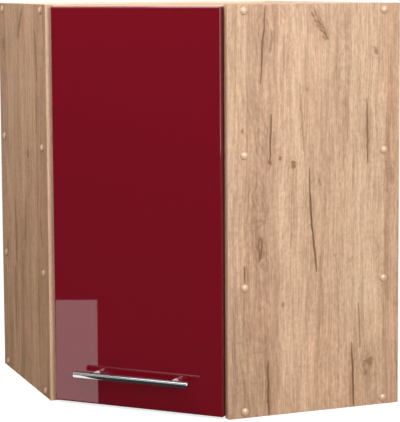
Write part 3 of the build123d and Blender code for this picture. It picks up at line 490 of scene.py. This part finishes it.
# Left panel patches; the first is painted shade over the whole panel, which faces away from the key light.
LEFT_PATCHES = [
    ((0.190, 0, 0.372), 0.220, 0.400, 0.0020, PAINTED_SHADE_LEFT_PANEL, 1.00),
    ((0.040, 0, 0.372), 0.036, 0.400, 0.0030, DARKER, 0.60),
    ((0.110, 0, 0.372), 0.030, 0.400, 0.0030, LIGHTER, 0.50),
    ((0.200, 0, 0.372), 0.012, 0.400, 0.0060, DARKER, 0.50),
    ((0.265, 0, 0.372), 0.016, 0.400, 0.0060, LIGHTER, 0.50),
    ((0.325, 0, 0.372), 0.030, 0.400, 0.0030, DARKER, 0.50),
    ((0.180, 0, 0.150), 0.034, 0.180, 0.0300, DARKER, 0.40),
]
LEFT_CRACKS = [
    ((0.162, 0, 0.738), (0.201, 0, 0.679), 0.0070, 0.010, 0.65),
    ((0.076, 0, 0.700), (0.0645, 0, 0.598), 0.0034, 0.006, 0.70),
    ((0.070, 0, 0.580), (0.072, 0, 0.500), 0.0030, 0.005, 0.60),
    ((0.155, 0, 0.380), (0.160, 0, 0.270), 0.0034, 0.007, 0.60),
    ((0.235, 0, 0.360), (0.232, 0, 0.230), 0.0040, 0.008, 0.60),
    ((0.055, 0, 0.340), (0.040, 0, 0.285), 0.0034, 0.005, 0.65),
    ((0.245, 0, 0.220), (0.240, 0, 0.080), 0.0044, 0.008, 0.60),
    ((0.110, 0, 0.470), (0.113, 0, 0.380), 0.0030, 0.008, 0.40),
    ((0.285, 0, 0.560), (0.288, 0, 0.420), 0.0040, 0.008, 0.40),
]
LEFT_KNOTS = [
    ((0.310, 0, 0.665), 0.1, 0.040, 0.070, 0.75, 0.60),
    ((0.136, 0, 0.456), 0.0, 0.026, 0.040, 0.80, 0.60),
    ((0.300, 0, 0.250), 0.0, 0.040, 0.060, 0.55, 0.60),
    ((0.075, 0, 0.180), 0.0, 0.050, 0.140, 0.20, 0.60),
]


def edge_band(name, place_of, shift):
    """The oak edge band, a little paler and plainer than the board."""
    material, tree, out = new_material(name)
    turn, move, scale = place_of
    place = object_place(tree, turn, move, scale)
    colour, height, tone = oak_colour(tree, place, shift)
    colour = blend_colour(tree, 0.30, colour, EDGE_BAND_OAK)
    board_surface(tree, out, colour, height, sum_of(tree, "MULTIPLY_ADD", tone, -0.08, 0.52))
    return material


def door_lacquer():
    """High-gloss red foil round the door's front and edges, and white melamine on its back."""
    material, tree, out = new_material("door_gloss_red")
    place = object_place(tree)
    marks = place_group(tree, FINE_MARKS, {"Vector": place, "Size": 0.004})
    depth = add(tree, "ShaderNodeSeparateXYZ", {"Vector": place}).outputs["Y"]
    is_back = sum_of(tree, "GREATER_THAN", depth, DOOR_BACK - DOOR_BACK_LAYER)
    red = blend_colour(tree, sum_of(tree, "MULTIPLY", marks["Broad"], 0.10), GLOSS_RED, GLOSS_RED_DEEPER)
    white = blend_colour(tree, sum_of(tree, "MULTIPLY", marks["Fine"], 0.12), MELAMINE_WHITE, MELAMINE_GREY)
    colour = blend_colour(tree, is_back, red, white)
    roughness = sum_of(tree, "MULTIPLY_ADD", marks["Scratches"], 0.03, 0.30)
    roughness = sum_of(tree, "MULTIPLY_ADD", is_back, 0.22, roughness)
    coat = sum_of(tree, "SUBTRACT", 1.0, sum_of(tree, "MULTIPLY", is_back, 0.85))
    give_surface(tree, out, {"Base Color": colour, "Roughness": roughness, "Coat Weight": coat,
                             "Coat Roughness": 0.02, "Coat IOR": 1.7, "Specular IOR Level": 0.0},
                 marks["Broad"], 0.015, 0.0004)
    return material


def plated_metal(name, colour, worn, roughness, stretch=(1, 1, 1), size=0.0015, metal=1.0):
    """A plated or galvanised metal with fine polishing marks and slightly duller patches."""
    material, tree, out = new_material(name)
    place = object_place(tree)
    marks = place_group(tree, FINE_MARKS, {"Vector": place, "Size": size, "Stretch": stretch})
    shade = blend_colour(tree, sum_of(tree, "MULTIPLY", marks["Broad"], 0.5), colour, worn)
    rough = sum_of(tree, "MULTIPLY_ADD", marks["Scratches"], 0.05, roughness)
    rough = sum_of(tree, "MULTIPLY_ADD", marks["Fine"], 0.06, rough)
    give_surface(tree, out, {"Base Color": shade, "Metallic": metal, "Roughness": rough},
                 marks["Fine"], 0.02, 0.0002)
    return material


def moulded_plastic(name, colour, worn, roughness, specular=0.5, painted_foot_shade=None):
    """A moulded plastic with a fine surface and slight colour variation.

    Painted shade darkens the foot of a cap, where it meets the board; the last argument gives the way out of
    the board, and how far out the board's face is.
    """
    material, tree, out = new_material(name)
    place = object_place(tree)
    marks = place_group(tree, FINE_MARKS, {"Vector": place, "Size": 0.0012})
    shade = blend_colour(tree, marks["Broad"], colour, worn)
    if painted_foot_shade:
        way_out, face = painted_foot_shade
        # The foot's painted shade: darkest at the board's face, gone a little way out.
        out_of_board = vector_value(tree, "DOT_PRODUCT", place, way_out)
        foot = between(tree, out_of_board, face + CAP_PAINTED_SHADE_START, face + CAP_PAINTED_SHADE_END, 1.0, 0.0)
        shade = blend_colour(tree, sum_of(tree, "MULTIPLY", foot, CAP_PAINTED_SHADE_STRENGTH), shade, CAP_FOOT_PAINTED_SHADE)
    rough = sum_of(tree, "MULTIPLY_ADD", marks["Fine"], 0.08, roughness)
    give_surface(tree, out, {"Base Color": shade, "Roughness": rough, "Specular IOR Level": specular},
                 marks["Fine"], 0.06, 0.0002)
    return material


def hardboard(name, board, side):
    """Thin hardboard: pale decor paper towards the room, brown pressed fibre towards the wall."""
    room_face = max(side * vertex.co.x - vertex.co.y for vertex in NODES[board].data.vertices)
    material, tree, out = new_material(name)
    turned = object_place(tree, (0, 0, side * math.pi / 4))
    marks = place_group(tree, FINE_MARKS, {"Vector": turned, "Size": 0.0022})
    wide = add(tree, "ShaderNodeTexNoise", {"Vector": turned, "Scale": 16.0, "Detail": 5.0})
    fibre = blend_colour(tree, marks["Fine"], FIBRE_DARK, FIBRE_LIGHT)
    fibre = blend_colour(tree, sum_of(tree, "MULTIPLY", wide.outputs["Fac"], 0.5), fibre, FIBRE_STAIN)
    paper = blend_colour(tree, marks["Broad"], PAPER_LIGHT, PAPER_DARK)
    depth = vector_value(tree, "DOT_PRODUCT", object_place(tree), (side, -1, 0))
    is_room = sum_of(tree, "GREATER_THAN", depth, room_face - PAPER_LAYER)
    colour = blend_colour(tree, is_room, fibre, paper)
    roughness = sum_of(tree, "MULTIPLY_ADD", marks["Fine"], 0.1, 0.68)
    give_surface(tree, out, {"Base Color": colour, "Roughness": roughness}, marks["Fine"], 0.25, 0.0004)
    return material


def dress(material, *names):
    """Gives CAD nodes their finish."""
    for name in names:
        slots = NODES[name].data.materials
        slots.clear()
        slots.append(material)


right_oak = oak_board("right_side_oak_decor", RIGHT_PANEL, 0.0, RIGHT_PATCHES, RIGHT_CRACKS, RIGHT_KNOTS)
left_oak = oak_board("left_side_oak_decor", LEFT_PANEL, 3.1, LEFT_PATCHES, LEFT_CRACKS, LEFT_KNOTS)
dress(right_oak, "right_side")
dress(left_oak, "left_side")
dress(edge_band("right_side_edge_band", RIGHT_PANEL, 7.3), "right_side_edging")
dress(edge_band("left_side_edge_band", LEFT_PANEL, 9.7), "left_side_edging")
for shift, board in ((1.3, "bottom_board"), (2.6, "lower_shelf"), (4.2, "upper_shelf"), (5.9, "top_board")):
    dress(oak_board(board + "_oak_decor", LYING_BOARD, shift), board)
    dress(edge_band(board + "_edge_band", LYING_BOARD, shift + 0.4), board + "_edging")
dress(hardboard("left_hardboard", "left_back", 1), "left_back")
dress(hardboard("right_hardboard", "right_back", -1), "right_back")
dress(door_lacquer(), "door")

chrome = plated_metal("handle_chrome", (0.58, 0.60, 0.60, 1), (0.53, 0.55, 0.55, 1), 0.09, (0.05, 1, 1))
nickel = plated_metal("nickel_steel", (0.70, 0.68, 0.64, 1), (0.60, 0.58, 0.54, 1), 0.26, metal=0.8)
zinc = plated_metal("zinc_steel", (0.66, 0.67, 0.68, 1), (0.52, 0.54, 0.56, 1), 0.32, metal=0.8)
galvanised = plated_metal("galvanised_steel", (0.55, 0.57, 0.58, 1), (0.42, 0.44, 0.46, 1), 0.38, size=0.003)
satin_chrome = plated_metal("handle_post_chrome", (0.86, 0.86, 0.86, 1), (0.80, 0.80, 0.80, 1), 0.30,
                            metal=0.45)
dress(chrome, "handle_bar")
dress(satin_chrome, "left_handle_post", "right_handle_post")
for side, hand in ((1, "right"), (-1, "left")):
    way_out = (side / math.sqrt(2), -1 / math.sqrt(2), 0)
    dress(moulded_plastic(hand + "_cap_plastic", CAP_OAK, CAP_OAK_WORN, 0.22, 0.9,
                          painted_foot_shade=(way_out, -PANEL_FACE)), hand + "_cover_caps")
dress(moulded_plastic("bracket_plastic", (0.74, 0.74, 0.71, 1), (0.68, 0.68, 0.65, 1), 0.42),
      "left_hanging_bracket", "right_hanging_bracket")
dress(moulded_plastic("bumper_rubber", (0.62, 0.63, 0.62, 1), (0.52, 0.53, 0.52, 1), 0.30), "door_bumpers")
dress(galvanised, "left_hook", "right_hook", "back_nails")
dress(zinc, "left_carcase_screws", "right_carcase_screws", "handle_screws", "left_bracket_adjusters",
      "right_bracket_adjusters", "left_bracket_screws", "right_bracket_screws")
for hinge in ("upper", "lower"):
    for metal, pieces in (
            (nickel, ("hinge_cup", "hinge_arm", "mounting_plate")),
            (zinc, ("hinge_pin", "cup_screws", "plate_screws", "arm_fixing_screw", "side_adjuster"))):
        dress(metal, *(f"{hinge}_{piece}" for piece in pieces))


# ------------------------------------------------------- floor, light, camera

AMBIENT = 0.43  # the world's light on the object; seen rays find plain white
FLOOR_RADIUS = 6.0
FLOOR_DROP = 0.001  # under the cabinet
FLOOR_PAINT = (0.45, 0.445, 0.43, 1)
FLOOR_GLOW = 0.76  # for seen rays, so that the floor meets the white background
SCREEN_RADIUS = 3.6
SCREEN_FOOT = -0.5
SCREEN_TOP = 1.0
SCREEN_START = math.radians(-115)
SCREEN_SWEEP = math.radians(230)
SCREEN_STEPS = 60
SCREEN_FADE = (0.2, 2.6)  # where its strength changes, from left to right
SCREEN_STRENGTHS = (0.05, 0.22)
MAT_RADIUS = SCREEN_RADIUS + 0.2
MAT_HEIGHT = 0.0004
MAT_STRENGTH = 0.05
SHEET_CORNERS = ((-0.0868, -0.3186), (-0.5666, -1.2425), (-0.85, -1.1255), (-0.35, -0.3186))
SHEET_HEIGHT = 0.0008
SHEET_COLOUR = (1.0, 0.89, 0.89, 1)
SHEET_STRENGTH = 1.62
STANDING = Matrix.Rotation(math.pi / 2, 4, "X")
SIDEWAYS = Matrix.Rotation(math.pi / 2, 4, "Z") @ STANDING
LEANING = Matrix.Rotation(0.55, 4, "X")
LYING = Matrix()
# Each card: name, turn, middle, width, height and strength.
CARDS = (
    ("front_card", STANDING, (0.08, -3.0, 1.70), 0.80, 0.50, 14.0),
    ("right_card", SIDEWAYS, (2.0, -1.25, 0.95), 0.75, 1.36, 5.5),
    ("dark_ceiling", LYING, (-2.42, 0.1, 2.3), 3.40, 6.80, 0.10),
    ("top_card", LEANING, (0.03, -1.1, 1.9), 2.00, 0.46, 4.5),
    ("dim_top_card", LEANING, (-1.27, -1.1, 1.9), 0.50, 0.70, 1.1),
    ("bright_ceiling", LYING, (-0.02, -0.5, 2.3), 1.40, 1.60, 4.0),
)


def seen_rays(tree):
    """1 for the rays of the camera, of gloss and of glass; 0 for the light that falls on the object."""
    path = add(tree, "ShaderNodeLightPath").outputs
    seen = sum_of(tree, "MAXIMUM", path["Is Camera Ray"], path["Is Glossy Ray"])
    return sum_of(tree, "MAXIMUM", seen, path["Is Transmission Ray"])


def build_world():
    """A white background for seen rays, and a soft even light for the rest."""
    world = bpy.data.worlds.new("white_studio")
    world.use_nodes = True
    bpy.context.scene.world = world
    tree = world.node_tree
    tree.nodes.clear()
    seen = seen_rays(tree)
    strength = sum_of(tree, "MULTIPLY_ADD", seen, 1.0 - AMBIENT, AMBIENT)
    sky = add(tree, "ShaderNodeBackground", {"Color": WHITE, "Strength": strength})
    out = add(tree, "ShaderNodeOutputWorld")
    tree.links.new(sky.outputs[0], out.inputs["Surface"])


def build_floor():
    """A wide pale floor, white to the eye, that keeps the cabinet's shadow."""
    shape = bmesh.new()
    bmesh.ops.create_circle(shape, cap_ends=True, segments=96, radius=FLOOR_RADIUS)
    mesh = bpy.data.meshes.new("floor")
    shape.to_mesh(mesh)
    shape.free()
    floor = bpy.data.objects.new("floor", mesh)
    bpy.context.scene.collection.objects.link(floor)
    floor.location.z = -FLOOR_DROP
    material, tree, out = new_material("pale_floor")
    paint = add(tree, "ShaderNodeBsdfDiffuse", {"Color": FLOOR_PAINT})
    strength = sum_of(tree, "MULTIPLY", seen_rays(tree), FLOOR_GLOW)
    glow = add(tree, "ShaderNodeEmission", {"Strength": strength})
    both = add(tree, "ShaderNodeAddShader")
    tree.links.new(paint.outputs[0], both.inputs[0])
    tree.links.new(glow.outputs[0], both.inputs[1])
    tree.links.new(both.outputs[0], out.inputs["Surface"])
    mesh.materials.append(material)


def only_in_reflections(shape, name, colour, strength):
    """A studio card that only gloss sees: it shapes the reflections and doesn't light or shade the object."""
    mesh = bpy.data.meshes.new(name)
    shape.to_mesh(mesh)
    shape.free()
    card = bpy.data.objects.new(name, mesh)
    bpy.context.scene.collection.objects.link(card)
    card.visible_camera = False
    card.visible_diffuse = False
    card.visible_shadow = False
    card.visible_transmission = False
    material, tree, out = new_material(name)
    glow = add(tree, "ShaderNodeEmission", {"Color": colour, "Strength": strength})
    tree.links.new(glow.outputs[0], out.inputs["Surface"])
    mesh.materials.append(material)
    return card


def build_cards():
    """The dark screen and mat, the pale sheet that the door's foot mirrors, and the cards of the gloss."""
    foot_x = SCREEN_RADIUS * math.sin(SCREEN_START)
    foot_y = -SCREEN_RADIUS * math.cos(SCREEN_START)
    screen = bmesh.new()
    line = [screen.verts.new((foot_x, foot_y, z)) for z in (SCREEN_FOOT, SCREEN_TOP)]
    edge = screen.edges.new(line)
    bmesh.ops.spin(screen, geom=[*line, edge], cent=(0, 0, 0), axis=(0, 0, 1), angle=SCREEN_SWEEP,
                   steps=SCREEN_STEPS, use_merge=False)
    # The screen is darkest on the left and paler on the right.
    shade = only_in_reflections(screen, "dark_screen", WHITE, 1.0).data.materials[0].node_tree
    across = add(shade, "ShaderNodeSeparateXYZ", {"Vector": object_place(shade)}).outputs["X"]
    strength = between(shade, across, *SCREEN_FADE, *SCREEN_STRENGTHS)
    shade.links.new(strength, shade.nodes["Emission"].inputs["Strength"])
    mat = bmesh.new()
    bmesh.ops.create_circle(mat, cap_ends=True, segments=64, radius=MAT_RADIUS,
                            matrix=Matrix.Translation((0, 0, MAT_HEIGHT)))
    only_in_reflections(mat, "dark_mat", WHITE, MAT_STRENGTH)
    sheet = bmesh.new()
    sheet.faces.new([sheet.verts.new((x, y, SHEET_HEIGHT)) for x, y in SHEET_CORNERS])
    only_in_reflections(sheet, "pale_sheet", SHEET_COLOUR, SHEET_STRENGTH)
    for name, turn, middle, wide, tall, strength in CARDS:
        card = bmesh.new()
        bmesh.ops.create_grid(card, x_segments=1, y_segments=1, size=0.5,
                              matrix=Matrix.Translation(middle) @ turn @ Matrix.Diagonal((wide, tall, 1, 1)))
        only_in_reflections(card, name, WHITE, strength)


def softbox(name, place, aim, wide, tall, power, colour=(1, 1, 1), mirrored=True):
    """A studio lamp. One that isn't mirrored lights the object and leaves its reflections to the cards."""
    lamp = bpy.data.lights.new(name, "AREA")
    lamp.shape = "RECTANGLE"
    lamp.size = wide
    lamp.size_y = tall
    lamp.energy = power
    lamp.color = colour
    box = bpy.data.objects.new(name, lamp)
    bpy.context.scene.collection.objects.link(box)
    box.location = place
    box.visible_glossy = mirrored
    box.rotation_euler = (Vector(aim) - Vector(place)).to_track_quat("-Z", "Y").to_euler()


build_world()
build_floor()
build_cards()
softbox("key_softbox", (2.75, -1.95, 1.45), (0.2, -0.1, 0.38), 1.5, 1.5, 62)
softbox("top_softbox", (-0.42, -1.1, 1.9), (-0.1, -0.3, 0.6), 1.2, 0.7, 20, mirrored=False)
softbox("front_softbox", (0.1, -2.9, 2.3), (0.0, -0.3, 0.7), 1.0, 0.8, 16, mirrored=False)
softbox("overhead_softbox", (-0.05, 0.15, 2.25), (-0.05, 0.15, 0.75), 0.5, 0.5, 12, mirrored=False)
softbox("left_softbox", (-2.6, -2.0, 1.5), (-0.2, -0.1, 0.4), 1.2, 1.2, 1.0, (1.0, 0.70, 0.45))

# The camera stands to the right of the door, and looks a little down, with the picture shifted downwards.
EYE = Vector((1.3280, -3.0175, 0.7800))
TURN = -0.4161
TILT = 0.0971
ROLL = 0.0057
FOCAL_PIXELS = 1668.6
PICTURE_PIXELS = 422  # the picture's longer side
SENSOR = 36
SHIFT_DOWN = 0.15
ahead = Vector((math.sin(TURN) * math.cos(TILT), math.cos(TURN) * math.cos(TILT), -math.sin(TILT)))
right = Vector((math.cos(TURN), -math.sin(TURN), 0))
upward = right.cross(ahead)
right_rolled = right * math.cos(ROLL) - upward * math.sin(ROLL)
up_rolled = upward * math.cos(ROLL) + right * math.sin(ROLL)
lens = bpy.data.cameras.new("camera")
lens.sensor_width = SENSOR
lens.sensor_fit = "AUTO"
lens.lens = FOCAL_PIXELS / PICTURE_PIXELS * SENSOR
lens.shift_y = -SHIFT_DOWN
lens.clip_end = 100
camera = bpy.data.objects.new("camera", lens)
bpy.context.scene.collection.objects.link(camera)
turn = Matrix((right_rolled, up_rolled, -ahead)).transposed()
camera.matrix_world = Matrix.Translation(EYE) @ turn.to_4x4()
bpy.context.scene.camera = camera
bpy.context.scene.view_settings.view_transform = "Standard"
